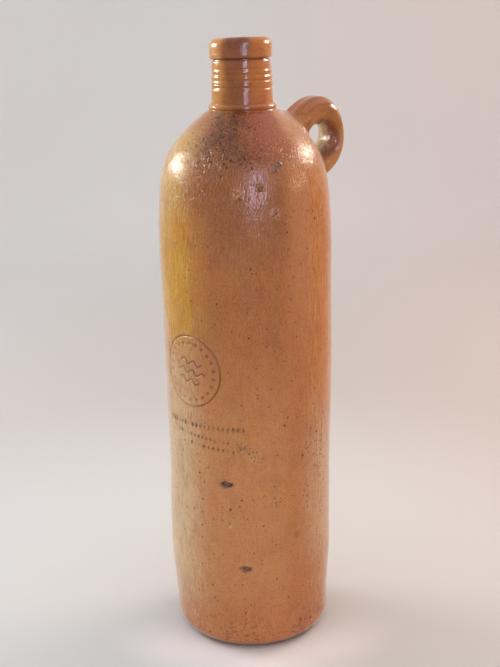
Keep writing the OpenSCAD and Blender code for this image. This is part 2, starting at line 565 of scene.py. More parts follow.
def round_stamp(points):
    """A round stamp: a rim line, a ring of dots inside it, and three waves across the middle."""
    u, v = turned(*unrolled(points, STAMP_AZIMUTH, STAMP_Z), STAMP_TURN)
    ring = np.hypot(u, v)
    rim = dent(ring - STAMP_R, STAMP_LINE)
    step = math.tau / STAMP_BEADS
    off = (np.arctan2(v, u) + step / 2) % step - step / 2
    beads = dent(np.hypot(ring * off, ring - STAMP_BEAD_RING), STAMP_BEAD_R)
    depth = np.maximum(rim, beads)
    for k, length in enumerate(WAVE_LENGTHS):
        level = (k - 1) * WAVE_SPACING + WAVE_HEIGHT * np.sin(math.tau * u / WAVE_PITCH)
        ends = 1 - smooth(np.abs(u), length / 2 - 0.6, length / 2)
        depth = np.maximum(depth, dent(v - level, STAMP_LINE) * ends)
    worn = 0.65 + 0.35 * smooth(u + 0.6 * v, -14, 8)
    return STAMP_DEPTH * depth * worn * (ring < STAMP_R + 3)


# Each row: azimuth and height of its middle, length, pitch of the nicks, their size and slope.
NICK_ROWS = (
    (-65.7, 119.6, 48, 2.5, (2.3, 4.2), 0),
    (-66, 114, 32.5, 2.3, (2.0, 3.2), 5),
    (-60, 109.3, 28.5, 2.6, (2.2, 3.2), 5),
)
NICK_DEPTH = 0.65


def nicked_rows(points):
    """Rows of lozenges rolled into the clay below the stamp, some of them only faint."""
    random = np.random.default_rng(7)
    depth = np.zeros(len(points))
    for azimuth, z, length, pitch, (width, height), slope in NICK_ROWS:
        u, v = turned(*unrolled(points, azimuth, z), -slope)
        pressure = random.uniform(0.35, 1.0, int(length / pitch) + 2)
        place = (u + length / 2) / pitch
        nick = np.clip(place.astype(int), 0, len(pressure) - 1)
        across = (place % 1 - 0.5) * pitch
        lozenge = 1 - np.abs(across) / (width / 2) - np.abs(v) / (height / 2)
        inside = (np.abs(u) < length / 2) & (lozenge > 0)
        shape = np.where(inside, smooth(lozenge, 0, 0.6) * pressure[nick], 0)
        depth = np.maximum(depth, shape)
    return NICK_DEPTH * depth


# Each gouge: azimuth, height, half length, half height and depth.
GOUGES = (
    (-47.3, 91, 4.4, 2.0, 1.2),
    (-35, 46.8, 4.3, 2.1, 0.8),
    (-46, 70.3, 1.1, 2.4, 0.35),
)


def gouges(points):
    """Places where grit was dragged out of the wet clay."""
    depth = np.zeros(len(points))
    for azimuth, z, length, height, deep in GOUGES:
        u, v = unrolled(points, azimuth, z)
        ragged = 1 + 0.14 * np.sin(1.3 * u - 1.9 * v + azimuth) + 0.12 * np.sin(3.7 * v + 1.1 * u)
        reach = np.hypot(u / length, v / height) * ragged
        depth = np.maximum(depth, deep * (1 - smooth(reach, 0.35, 1.1)))
    return depth


def impressions(points):
    """How deep the outside is pressed or gouged in, in millimetres."""
    return np.maximum(np.maximum(round_stamp(points), nicked_rows(points)), gouges(points))


SCAR_AZIMUTH = -8
SCAR_Z = 243.4
SCAR_SLOPE = 46
SCAR_LENGTH = 6.6
SCAR_W = 1.1
SCAR_H = 0.4

# The blister: the azimuth and height of its middle, and its sizes.
BLISTER = (-20.7, 234.4)
BLISTER_R = 1.0
BLISTER_H = 0.75
BLISTER_SINK = 0.3


def scar(points):
    """A slanted run of kiln crust on the shoulder, 1 on its crest."""
    u, v = turned(*unrolled(points, SCAR_AZIMUTH, SCAR_Z), SCAR_SLOPE)
    width = SCAR_W * (1 + 0.45 * smooth(u, 0, SCAR_LENGTH / 2)) * (1 + 0.3 * np.sin(3.1 * u))
    return dent(v, width) * (1 - smooth(np.abs(u), SCAR_LENGTH / 2 - 1, SCAR_LENGTH / 2 + 0.5))


def crust(points):
    """What stands out of the glaze: the scar, and one blister with a sunk rim near it."""
    away = np.hypot(*unrolled(points, *BLISTER))
    rim = dent(away - 1.5 * BLISTER_R, 0.7)
    return SCAR_H * scar(points) + BLISTER_H * dent(away, BLISTER_R) - BLISTER_SINK * rim


# Each swelling of the wall: azimuth, height, half width and half height of it, and how far out.
SWELLINGS = (
    (-121, 203, 22, 15, 0.35),
    (59, 203, 22, 15, 0.35),
    (90, 261, 9, 6, 3.8),
)

# Where the thrown wall is slack or full all round: height, half height, and how far out.
THROWING = (
    (46, 10, 0.18),
    (98, 18, -0.38),
    (160, 36, 0.22),
)


# Faint throwing rings: how far out, their pitch, and how many turns they wind round the bottle.
RINGS = (
    (0.04, 7.5, 1),
    (0.02, 4.1, -2),
)

# Slow waves: how far out, how many round the bottle, the height that turns them, and their start.
WAVES = (
    (0.06, 5, 31, 0),
    (0.05, 9, -47, 1),
)


def unevenness(points):
    """The thrown wall is never quite true: slow waves, faint rings and clay raised by the loop."""
    azimuths = np.arctan2(points[:, 0], -points[:, 1])
    z = points[:, 2]
    body = smooth(z, 2, 12) * (1 - smooth(z, SHOULDER_TOP - 12, SHOULDER_TOP - 4))
    shift = np.zeros(len(points))
    for out, pitch, turns in RINGS:
        shift = shift + out * np.sin(math.tau * z / pitch + turns * azimuths) * body
    for out, count, height, begin in WAVES:
        shift = shift + out * np.sin(count * azimuths + z / height + begin) * body
    for level, height, out in THROWING:
        shift = shift + out * np.exp(-(((z - level) / height) ** 2))
    for azimuth, level, width, height, out in SWELLINGS:
        u, v = unrolled(points, azimuth, level)
        shift = shift + out * np.exp(-((u / width) ** 2) - (v / height) ** 2)
    return shift


COLLAR_SHIFT = 0.35
COLLAR_TILT = 0.028

# How the thrown form sways from its axis: height, half height, and how far to the left.
SWAY = (
    (52, 42, 0.45),
    (150, 48, -0.4),
)


def swayed(points):
    """The wall sways a little from its axis, and the collar sits to one side and slants."""
    left = direction(CAMERA_AZIMUTH - 90)
    z = points[:, 2]
    share = smooth(z, COLLAR_Z - 8, COLLAR_Z + 1)
    shift = COLLAR_SHIFT * share
    for level, height, out in SWAY:
        shift = shift + out * np.exp(-(((z - level) / height) ** 2)) * smooth(z, 0, 25)
    moved = points + shift[:, None] * left
    moved[:, 2] -= COLLAR_TILT * share * np.maximum(points @ left, -4)
    return moved


# Meshes of the two forms


COLUMNS = 176
FOOT_RINGS = (8, 16, 23, 28.5)
FLOOR_RINGS = (18, 9)

# Stretches of the wall whose faces are split finely: azimuths and heights from and to.
FINE_PATCHES = (
    (-100, -47, 127, 166),
    (-104, -28, 103, 123.5),
    (-53, -41, 87.5, 94.5),
    (-41, -29, 43, 51),
    (-49, -43, 67, 74),
    (-16, 0, 239, 248),
    (-26, -15.5, 229.5, 239.5),
)
FINE_CUTS = 4

# Points less than this inside the outline belong to the outside of the wall.
SKIN_T = 1


def turned_body():
    """The whole thrown form, outside and inside, as one closed mesh."""
    foot = [(r, 0) for r in FOOT_RINGS]
    floor = [(r, FLOOR_T) for r in FLOOR_RINGS]
    outline = np.vstack([foot, OUTER, inner_outline(), floor])
    bm = bmesh.new()
    rings = skinned(bm, [around(r, z, COLUMNS) for r, z in outline])
    capped(bm, rings[0], 0)
    capped(bm, rings[-1], FLOOR_T)
    bmesh.ops.recalc_face_normals(bm, faces=bm.faces)
    refine(bm)
    return bm


def within(point, patch):
    start, end, low, high = patch
    azimuth = math.degrees(math.atan2(point.x, -point.y))
    outside = math.hypot(point.x, point.y) > outer_radius(point.z) - SKIN_T
    return outside and start <= azimuth <= end and low <= point.z <= high


def refine(bm):
    """Splits the faces of the marked patches and sets the new corners on the true outline."""
    inside = {v for v in bm.verts if any(within(v.co, patch) for patch in FINE_PATCHES)}
    edges = [e for e in bm.edges if e.verts[0] in inside and e.verts[1] in inside]
    split = bmesh.ops.subdivide_edges(bm, edges=edges, cuts=FINE_CUTS, use_grid_fill=True)
    for vert in split["geom_inner"]:
        if isinstance(vert, bmesh.types.BMVert):
            flat = Vector((vert.co.x, vert.co.y)).normalized() * float(outer_radius(vert.co.z))
            vert.co.x, vert.co.y = flat


def strap_path():
    """The middle line of the loop, in the plane of x and z, with both ends sunk in the wall."""
    def sunk(z, angle):
        lean = np.array([math.cos(math.radians(angle)), math.sin(math.radians(angle))])
        return np.array([outer_radius(z), z]) - STRAP_END * lean, lean

    root, root_lean = sunk(SHOULDER_TOP - ROOT_DROP, ROOT_ANGLE)
    foot, foot_lean = sunk(WALL_H + LOOP_FOOT_Z, FOOT_ANGLE)
    return [root, root + ROOT_PULL * root_lean, foot + FOOT_PULL * foot_lean, foot]


def drawn(t, k):
    """The width (k = 0) or thickness (k = 1) of the strap, drawn in between its two ends."""
    def fade(s):
        return np.where(s < 1, np.cos(math.pi / 2 * np.minimum(s, 1)) ** 2, 0)

    past_root = np.maximum(t - ROOT_HOLD[k], 0) / (ROOT_SHARE[k] - ROOT_HOLD[k])
    root = (ROOT_SIZE[k] - STRAP_SIZE[k]) * fade(past_root)
    foot = (FOOT_SIZE[k] - STRAP_SIZE[k]) * fade((1 - t) / FOOT_SHARE)
    return STRAP_SIZE[k] + root + foot


STRAP_RINGS = 110
STRAP_SIDES = 96
FINE_LINES = 11
FINE_LINE_D = 0.12

# Places along the strap, as shares of its length: its two ends inside the wall, the crown with
# extra clay on its inner side, and a nick on its outer side.
STRAP_START = 0.018
STRAP_STOP = 0.971
CROWN_AT = 0.27
CROWN_SPREAD = 0.1
CROWN_CLAY = 1.8
NICK_AT = 0.62
NICK_SPREAD = 0.012
NICK_D = 0.5


def pulled_strap():
    """The loop as a closed tube, with finger flutes and fine drag lines along it."""
    t = np.linspace(STRAP_START, STRAP_STOP, STRAP_RINGS)[:, None]
    a = np.linspace(0, math.tau, STRAP_SIDES, endpoint=False)[None, :]

    def squared(wave):
        return np.sign(wave) * np.abs(wave) ** STRAP_SQUARENESS

    across = squared(np.cos(a))
    flute = FLUTE_D * (0.5 - 0.5 * np.cos(math.tau * FLUTE_COUNT * (across + 1) / 2))
    lines = FINE_LINE_D * (0.5 - 0.5 * np.cos(math.tau * FINE_LINES * (across + 1) / 2))
    nick = NICK_D * np.exp(-(((t - NICK_AT) / NICK_SPREAD) ** 2)) * smooth(np.sin(a), 0, 1)
    crown = CROWN_CLAY * np.exp(-(((t - CROWN_AT) / CROWN_SPREAD) ** 2)) * np.clip(-np.sin(a), 0, 1)
    width = drawn(t, 0) / 2 * across
    height = drawn(t, 1) / 2 * squared(np.sin(a)) - (flute + lines) * np.sin(a) - nick - crown
    path = strap_path()
    centre = bezier(path, t[:, 0])
    slope = bezier_slope(path, t[:, 0])
    slope = slope / np.linalg.norm(slope, axis=1)[:, None]
    x = centre[:, :1] - slope[:, 1:] * height
    z = centre[:, 1:] + slope[:, :1] * height
    points = np.stack([x, np.broadcast_to(width, x.shape), z], axis=-1)
    bm = bmesh.new()
    rings = skinned(bm, points)
    bm.faces.new(rings[0])
    bm.faces.new(rings[-1])
    bmesh.ops.recalc_face_normals(bm, faces=bm.faces)
    return bm


# Joining the loop to the body


FILLET = 3.6
BLEND_REACH = 4.0
BLEND_ROUNDS = 14
BLEND_PULL = 0.6
NEAR_LOOP_X = 10


def normals(bm):
    bm.normal_update()
    return np.array([v.normal[:] for v in bm.verts])


def distances(points, tree, limit):
    """Signed distances to a closed surface, positive outside it and no more than a limit."""
    found = np.full(len(points), float(limit))
    for i, point in enumerate(points):
        place, normal, _, distance = tree.find_nearest(Vector(point), limit)
        if place is not None:
            found[i] = math.copysign(distance, (Vector(point) - place).dot(normal))
    return found


def fillet(distance):
    """How far smeared clay lifts one surface near the other."""
    return np.clip(FILLET - distance, 0, FILLET) ** 2 / (4 * FILLET)


def move(bm, points):
    for vert, point in zip(bm.verts, points):
        vert.co = point


def shaped_body(body, strap_tree):
    """The thrown form with its unevenness, its marks and the clay smeared up to the loop."""
    points = positions(body.verts)
    outside = beyond_wall(points) > -SKIN_T
    wall = outside & (points[:, 2] > 0.01) & (points[:, 2] < SHOULDER_TOP)
    shift = np.where(wall, unevenness(points) - impressions(points) + crust(points), 0)
    near_loop = outside & (points[:, 0] > 0)
    shift[near_loop] += fillet(distances(points[near_loop], strap_tree, FILLET))
    moved = swayed(points + shift[:, None] * normals(body))
    moved[:, 0] = np.maximum(moved[:, 0], -BODY_R)
    moved[:, 1] = np.clip(moved[:, 1], -BODY_R, BODY_R)
    moved[:, 2] = np.minimum(moved[:, 2], BOTTLE_H)
    move(body, moved)


def shaped_strap(strap, body_tree):
    """The loop with its ends thickened where they meet the wall."""
    points = positions(strap.verts)
    shift = fillet(distances(points, body_tree, FILLET))
    moved = points + shift[:, None] * normals(strap)
    moved[:, 0] = np.minimum(moved[:, 0], LOOP_X)
    move(strap, moved)


def smooth_joint(piece, body_tree, strap_tree):
    """Rounds the line where the two forms meet, as a wet finger would."""
    mesh = piece.data
    points = positions(mesh.vertices)
    first, second = np.array([edge.vertices[:] for edge in mesh.edges]).T
    share = np.zeros(len(points))
    near = np.flatnonzero((points[:, 0] > NEAR_LOOP_X) & (points[:, 2] > WALL_H))
    to_body = np.abs(distances(points[near], body_tree, BLEND_REACH + FILLET / 4))
    to_strap = np.abs(distances(points[near], strap_tree, BLEND_REACH + FILLET / 4))
    apart = np.maximum(to_body, to_strap) - FILLET / 4
    share[near] = 1 - smooth(apart, 0, BLEND_REACH)
    count = np.bincount(np.append(first, second), minlength=len(points))
    for _ in range(BLEND_ROUNDS):
        total = np.zeros_like(points)
        np.add.at(total, first, points[second])
        np.add.at(total, second, points[first])
        mean = total / count[:, None]
        points = points + BLEND_PULL * share[:, None] * (mean - points)
    mesh.vertices.foreach_set("co", points.ravel())
    mesh.update()


def make_bottle():
    """Body and loop become one closed mesh, still in millimetres."""
    body, strap = turned_body(), pulled_strap()
    body_tree, strap_tree = BVHTree.FromBMesh(body), BVHTree.FromBMesh(strap)
    shaped_body(body, strap_tree)
    shaped_strap(strap, body_tree)
    piece = object_from(body, "bottle_glazed")
    loop = object_from(strap, "loop_strap")
    union = piece.modifiers.new("join", "BOOLEAN")
    union.operation = "UNION"
    union.solver = "MANIFOLD"
    union.object = loop
    depsgraph = bpy.context.evaluated_depsgraph_get()
    joined = bpy.data.meshes.new_from_object(piece.evaluated_get(depsgraph))
    piece.modifiers.clear()
    piece.data = joined
    bpy.data.objects.remove(loop)
    smooth_joint(piece, body_tree, strap_tree)
    return piece


# Marks reach this far in from the outline, and the loop's own tones begin this far out from it.
MARKED_T = 2.5
LOOP_FADE = (1.5, 5)


def finish_mesh(piece):
    """Stores what the glaze has to know of each point, scales to metres and shades it smooth."""
    mesh = piece.data
    points = positions(mesh.vertices)
    beyond = beyond_wall(points)
    outside = beyond > -MARKED_T
    layers = {
        "pressed": np.where(outside, impressions(points), 0),
        "crusted": np.where(outside, scar(points), 0),
        "loop": smooth(beyond, *LOOP_FADE) * smooth(points[:, 2], WALL_H, WALL_H + 20),
    }
    for name, values in layers.items():
        layer = mesh.attributes.new(name, "FLOAT", "POINT")
        layer.data.foreach_set("value", values.astype(np.float32))
    mesh.transform(Matrix.Scale(MM, 4))
    mesh.shade_smooth()


# Glaze


class Glaze(Nodes):
    """Masks and colours laid over the bottle by azimuth and height, in millimetres."""

    def __init__(self, material):
        super().__init__(material)
        metres = self.add("ShaderNodeTexCoord").outputs["Object"]
        self.place = self.vector("MULTIPLY", metres, (1 / MM,) * 3)
        self.drifted = self.drift(0.05, 9)
        flat = self.vector("MULTIPLY", self.drifted, (1, 1, 0))
        self.outward = self.vector("NORMALIZE", flat)
        self.z = self.along("Z", self.place)
        self.drifted_z = self.along("Z", self.drifted)

    def stored(self, name):
        """What finish_mesh kept of each point under this name."""
        return self.add("ShaderNodeAttribute", attribute_name=name).outputs["Fac"]

    def drift(self, scale, reach):
        """Places pushed about by slow noise, so that no edge of a zone runs straight."""
        inputs = {"Vector": self.place, "Scale": scale, "Detail": 3.0}
        push = self.add("ShaderNodeTexNoise", inputs).outputs["Color"]
        centred = self.vector("SUBTRACT", push, (0.5, 0.5, 0.5))
        return self.vector("ADD", self.place, self.vector("MULTIPLY", centred, (reach,) * 3))

    def along(self, axis, coordinates):
        return self.add("ShaderNodeSeparateXYZ", {"Vector": coordinates}).outputs[axis]

    def side(self, azimuth, wide, narrow, *shares):
        """1 within the narrow angle of an azimuth, fading to 0 at the wide one, times any shares."""
        towards = tuple(direction(azimuth))
        closeness = self.vector("DOT_PRODUCT", self.outward, towards, output="Value")
        least, full = math.cos(math.radians(wide)), math.cos(math.radians(narrow))
        return self.times(self.ramp(closeness, least, full), *shares)

    def band(self, low, low_full, high_full, high):
        """1 between two heights, fading to 0 below the lowest and above the highest."""
        z = self.drifted_z
        return self.times(self.ramp(z, low, low_full), self.ramp(z, high, high_full))

    def near(self, azimuth, z, inner, outer, *shares):
        """1 within the inner distance of a place, fading to 0 at the outer one, times any shares."""
        middle = tuple(on_wall(azimuth, z))
        distance = self.vector("DISTANCE", self.place, middle, output="Value")
        return self.times(self.ramp(distance, outer, inner), *shares)

    def noise(self, scale, detail=2.0, roughness=0.6, distortion=0.0, place=None):
        inputs = {
            "Vector": place or self.place,
            "Scale": scale,
            "Detail": detail,
            "Roughness": roughness,
            "Distortion": distortion,
        }
        return self.add("ShaderNodeTexNoise", inputs).outputs["Fac"]

    def drawn(self, scales, *kind, place=None):
        """Noise with a scale of its own along each axis."""
        stretched = self.vector("MULTIPLY", place or self.place, scales)
        return self.noise(1.0, *kind, place=stretched)

    def streaks(self, across, along, *kind, place=None):
        """Noise whose marks are this wide across and this long along the axis."""
        return self.drawn((1 / across, 1 / across, 1 / along), *kind, place=place)

    def scattered(self, coordinates, scale, channel):
        """The distance to the nearest of many scattered points, and that point's random value."""
        inputs = {"Vector": coordinates, "Scale": scale}
        points = self.add("ShaderNodeTexVoronoi", inputs)
        value = self.add("ShaderNodeSeparateColor", {"Color": points.outputs["Color"]})
        return points.outputs["Distance"], value.outputs[channel]


# Iron specks that show in the glaze: azimuth, height and radius of each.
SPECKS = (
    (-40, 247, 0.9), (-55, 246, 0.8), (-34, 230, 0.9), (-50, 181.5, 0.7), (-70, 181.5, 0.7),
    (-30, 165.4, 0.8), (-19, 161, 0.7), (-13.5, 158.2, 0.6), (-7, 120.6, 0.8), (-4.6, 124.3, 0.7),
    (21.5, 112.5, 0.9), (7.8, 102.7, 1.0), (-68, 95.2, 0.9), (-37, 83.4, 0.8), (-38.6, 80.2, 0.6),
    (-45, 78.4, 0.9), (-14, 40.2, 0.7), (17.5, 11.2, 1.1), (7, 12.6, 0.9), (-95.7, 19.2, 0.9),
    (12, 205, 0.6), (-4, 214, 0.7), (-28, 198, 0.8), (-27, 196, 0.6), (20, 218.5, 0.9),
    (24, 215, 0.6), (18, 222, 0.6), (-65.7, 81.9, 0.7), (-66, 75, 0.6), (-66.5, 68, 0.8),
    (-67, 61.1, 0.7), (-37.9, 38, 0.6), (-37, 30, 0.5), (-36.5, 22, 0.6), (-72, 253, 0.8),
    (22, 60.2, 0.7), (22.3, 58.6, 0.8), (21.8, 57, 0.6), (-90.7, 226, 0.5), (-60, 36, 0.8),
    (-59, 29, 0.7), (33, 96, 0.8), (30, 83, 0.6), (26, 40, 0.7),
    (-10.8, 223, 0.9), (-12.6, 222, 0.6), (-31, 110.5, 0.5), (-29, 108.5, 0.6), (-27.5, 106, 0.5),
    (-30, 105.5, 0.5), (-26.5, 108.5, 0.5), (-31.5, 107.5, 0.6), (-28.5, 103.8, 0.5),
)

# Small specks in two sizes: scale of their cells, how rare they are on most of the glaze and where
# they lie thick, both from 0 to 1, and the radius of the largest in cells.
SMALL_SPECKS = (
    (0.95, 0.9, 0.12, 0.38),
    (0.5, 0.86, 0.4, 0.38),
)

# Rough places in the glaze: azimuth, height and radius of each.
ROUGH_PLACES = (
    (5.5, 234.8, 6),
    (12, 237, 4.5),
    (-36.2, 232.5, 4),
    (-10.8, 222.8, 3.5),
    (-35, 110, 4),
    (-27.5, 106, 4.5),
)

# Single marks: azimuth, height, the radius inside which each is full and the one where it ends.
CHIP = (-45.6, 69.2, 0.4, 1.3)
STAIN = (2.3, 62, 1.2, 2.4)
ASHY_PATCH = (-36.2, 110.3, 1.2, 4.2)
BLISTER_CORE = (*BLISTER, 0.4, 0.75)
BLISTER_RING = (*BLISTER, 0.9, 1.5)

TRAIL_REACH = 60
LOOP_MIDDLE = (41, 0, 251)
LOOP_HOLE_R = 8.5
BARE_H = 0.8


def wall_flushes(glaze, z, ragged):
    """Browner towards the shoulder, orange on the right, cream and mustard on the left."""
    warm = glaze.side(24, 36, 14, glaze.ramp(z, 262, 236))
    orange = glaze.side(45, 37, 10, glaze.ramp(ragged, 118, 158), glaze.ramp(z, 248, 222))
    lower_right = glaze.side(47, 50, 12, glaze.ramp(z, 30, 60), glaze.ramp(ragged, 136, 98))
    cream = glaze.side(-111, 56, 22, glaze.ramp(ragged, 186, 112))
    straw = glaze.side(-110, 47, 24, glaze.ramp(ragged, 142, 178), glaze.ramp(z, 270, 252))
    ochre = glaze.side(-70, 18, 6, glaze.band(158, 176, 216, 236))
    mustard = glaze.side(
        -112, 46, 38,
        glaze.side(-82, 56, 14), glaze.ramp(ragged, 152, 176), glaze.ramp(ragged, 236, 198),
    )
    # Painted reflection: a soft mauve sheen on the front, to the right of its middle.
    painted_mauve_reflection = glaze.side(7, 14, 4, glaze.band(160, 180, 226, 240), 0.6)
    return (
        (glaze.ramp(z, 104, 184), colour(190, 122, 70)),
        (glaze.ramp(z, 188, 226), colour(174, 111, 70)),
        (warm, colour(206, 132, 77)),
        (orange, colour(209, 124, 32)),
        (lower_right, colour(213, 166, 124)),
        (cream, colour(219, 188, 146)),
        (straw, colour(212, 170, 97)),
        (ochre, colour(202, 137, 58)),
        (mustard, colour(214, 158, 32)),
        (painted_mauve_reflection, colour(206, 138, 92)),
        (glaze.ramp(z, 50, 10, 0, 0.8), colour(200, 125, 76)),
    )


def shoulder_flushes(glaze, z):
    """Dark on the side that faced the fire, red to the right of it and pale towards the loop."""
    return (
        (glaze.side(-35, 38, 14, glaze.ramp(z, 190, 243)), colour(162, 98, 48)),
        (glaze.side(-38, 34, 8, glaze.ramp(z, 238, 257)), colour(114, 57, 22)),
        (glaze.side(-8, 30, 6, glaze.band(240, 254, 266, 274)), colour(166, 87, 50)),
        (glaze.side(42, 34, 12, glaze.ramp(z, 238, 256)), colour(204, 146, 104)),
    )


def neck_flushes(glaze, z):
    """Golden on both flanks of the neck and dark down its front and over the collar."""
    neck = glaze.ramp(z, SHOULDER_TOP - 2, SHOULDER_TOP + 4)
    collar_top = glaze.ramp(z, 292, 299)
    return (
        (neck, colour(198, 122, 66)),
        (glaze.side(-98, 62, 14, neck), colour(212, 150, 78)),
        (glaze.side(56, 44, 10, neck), colour(214, 146, 80)),
        (glaze.side(-42, 34, 6, neck), colour(152, 93, 54)),
        (glaze.side(-36, 34, 4, collar_top, 0.75), colour(116, 64, 44)),
    )


def loop_flushes(glaze, z, loop):
    """Golden outside, darker at the crown, painted shade inside and painted cream light on the far
    inner side.
    """
    flat = glaze.vector("MULTIPLY", glaze.place, (1, 0, 1))
    to_middle = glaze.vector("DISTANCE", flat, LOOP_MIDDLE, output="Value")
    inside = glaze.times(loop, glaze.ramp(to_middle, LOOP_HOLE_R + 2, LOOP_HOLE_R))
    painted_light_far_side = glaze.ramp(glaze.along("Y", glaze.place), -4, 3)
    return (
        (loop, colour(203, 138, 72)),
        (glaze.times(loop, glaze.ramp(z, 258, 268, 0, 0.8)), colour(160, 92, 56)),
        # Painted shade on the inner side of the loop.
        (inside, colour(160, 104, 80)),
        # Painted light on the far part of the loop's inner side.
        (glaze.times(inside, painted_light_far_side), colour(228, 206, 140)),
    )


def glaze_colour(glaze, loop):
    """The brown of the fired clay under the glaze, with the flushes that the kiln left on it."""
    z = glaze.drifted_z
    trails = glaze.streaks(2.2, 30, 3.0)
    trailed = glaze.times(glaze.math("SUBTRACT", trails, 0.5), TRAIL_REACH)
    ragged = glaze.math("ADD", z, trailed)
    flushes = (
        *wall_flushes(glaze, z, ragged),
        *shoulder_flushes(glaze, z),
        *neck_flushes(glaze, z),
        *loop_flushes(glaze, z, loop),
    )
    return glaze.laid(colour(217, 151, 97), flushes)


def mottled(glaze, tone, loop):
    """Clouds, faint runs and flecks in the glaze, and the drag lines of the pulled loop."""
    z = glaze.z
    wall = glaze.ramp(z, SHOULDER_TOP - 4, SHOULDER_TOP - 22)
    flanks = glaze.math("MAXIMUM", glaze.side(-98, 44, 20), glaze.side(40, 34, 16))
    streaked = glaze.times(wall, glaze.ramp(flanks, 0, 1, 0.25, 1.0))
    grainy = glaze.ramp(z, SHOULDER_TOP + 2, SHOULDER_TOP - 4, 0.35, 1.0)
    on_neck = glaze.ramp(z, SHOULDER_TOP + 1, SHOULDER_TOP + 4)
    clouds = glaze.noise(0.07, 4.0)
    flushes = glaze.streaks(9, 16, 3.0, 0.55)
    wavy = glaze.drift(0.06, 5)
    runs = glaze.streaks(0.7, 12, 2.0, 0.55, place=wavy)
    flecks = glaze.streaks(0.5, 0.9, 3.0, 0.65)
    rings = glaze.streaks(5, 0.8)
    lines = glaze.drawn((0.02, 1.0, 0.02), 1.0, 0.5)

    def share(noise, peak, most, mask):
        """Nothing at the middle of the noise and the most at a peak of it, within a mask."""
        return glaze.times(glaze.ramp(noise, 0.5, peak, 0, most), mask)

    return glaze.laid(tone, (
        (glaze.ramp(clouds, 0.48, 0.75, 0, 0.25), colour(206, 150, 128), "MULTIPLY"),
        (glaze.ramp(flushes, 0.5, 0.66, 0, 0.22), colour(206, 128, 58)),
        (glaze.ramp(flushes, 0.48, 0.34, 0, 0.2), colour(180, 112, 86)),
        (share(runs, 0.68, 0.3, streaked), colour(186, 128, 88), "MULTIPLY"),
        (share(runs, 0.34, 0.24, streaked), colour(236, 206, 150)),
        (share(flecks, 0.7, 0.45, grainy), colour(172, 116, 86), "MULTIPLY"),
        (share(flecks, 0.32, 0.15, grainy), colour(238, 196, 150)),
        (share(rings, 0.68, 0.22, on_neck), colour(160, 104, 84), "MULTIPLY"),
        (share(lines, 0.68, 0.4, loop), colour(150, 92, 70), "MULTIPLY"),
    ))


def marked(glaze, tone, pressed):
    """Pooled glaze in what is pressed in, darker in the deepest marks, torn clay in gouges, ash on the
    scar, and the blister.
    """
    deep = glaze.ramp(pressed, 0.6, 0.9)
    torn = glaze.ramp(glaze.streaks(1.6, 0.6), 0.5, 0.6)
    ash = glaze.ramp(glaze.noise(1.0), 0.42, 0.6)
    crust_tone = glaze.mix(ash, colour(70, 54, 46), colour(150, 122, 98))
    return glaze.laid(tone, (
        (glaze.ramp(pressed, 0.06, 0.6, 0, 0.6), colour(100, 60, 38)),
        (glaze.times(deep, 0.8), colour(62, 42, 38)),
        (glaze.times(torn, deep, 0.8), colour(172, 128, 104)),
        (glaze.near(*CHIP, 0.8), colour(222, 190, 162)),
        (glaze.near(*STAIN, 0.35), colour(142, 82, 54)),
        (glaze.ramp(glaze.stored("crusted"), 0.12, 0.5, 0, 0.85), crust_tone),
        (glaze.near(*BLISTER_RING, 0.75), colour(84, 50, 38)),
        (glaze.near(*BLISTER_CORE), colour(236, 226, 220)),
    ))


def sanded(glaze, tone, rough):
    """Pale sand in the rough places, and grey ash in one of them."""
    sand = glaze.noise(1.1, 2.0, 0.7)
    pale = glaze.times(rough, glaze.ramp(sand, 0.46, 0.58), 0.65)
    greyed = glaze.near(*ASHY_PATCH, glaze.ramp(sand, 0.6, 0.42), 0.7)
    return glaze.laid(tone, ((pale, colour(230, 178, 122)), (greyed, colour(122, 94, 66))))


def speckle_mask(glaze, thick):
    """Iron specks of two sizes, thick on one side of the shoulder, and the largest by name."""
    masks = [glaze.near(a, z, r * 0.5, r) for a, z, r in SPECKS]
    shaken = glaze.drift(1.4, 0.7)
    for scale, rare, common, largest in SMALL_SPECKS:
        distance, chance = glaze.scattered(shaken, scale, "Red")
        least = glaze.ramp(thick, 0, 1, rare, common)
        size = glaze.ramp(chance, least, glaze.math("ADD", least, 0.3), 0.0, largest)
        edge = glaze.times(size, 0.6)
        found = glaze.math("GREATER_THAN", size, 0.1)
        masks.append(glaze.times(glaze.ramp(distance, size, edge), found))
    blotches = glaze.ramp(glaze.noise(0.7, 3.0, 0.7), 0.58, 0.64)
    upper = glaze.ramp(glaze.drifted_z, 232, 246)
    masks.append(glaze.times(blotches, thick, upper))
    return glaze.together("MAXIMUM", masks)


def painted_crease_shade(glaze, loop):
    """Painted shade: a dark line in the sharp crease under the collar and, broken up, below the bead.
    """
    z = glaze.z
    under_collar = glaze.times(
        glaze.ramp(z, COLLAR_Z - 1.2, COLLAR_Z - 0.5), glaze.ramp(z, COLLAR_Z + 0.3, COLLAR_Z)
    )
    below_bead = glaze.times(
        glaze.ramp(z, SHOULDER_TOP - 1.3, SHOULDER_TOP - 0.6),
        glaze.ramp(z, SHOULDER_TOP + 0.4, SHOULDER_TOP - 0.2),
        glaze.ramp(glaze.noise(0.8), 0.46, 0.56),
    )
    clear = glaze.math("SUBTRACT", 1.0, loop)
    return glaze.times(glaze.math("MAXIMUM", under_collar, below_bead), clear, 0.6)


def heel_scuffs(glaze):
    """Scuffs round the heel, thick in some places and nearly gone in others."""
    scuffed = glaze.streaks(2.6, 1.6, 3.0, 0.65)
    worn = glaze.streaks(16, 7, 2.0, 0.5)
    return glaze.times(
        glaze.ramp(glaze.z, 30, 5),
        glaze.ramp(scuffed, 0.5, 0.62),
        glaze.ramp(worn, 0.46, 0.58, 0.1, 1.0),
        0.65,
    )


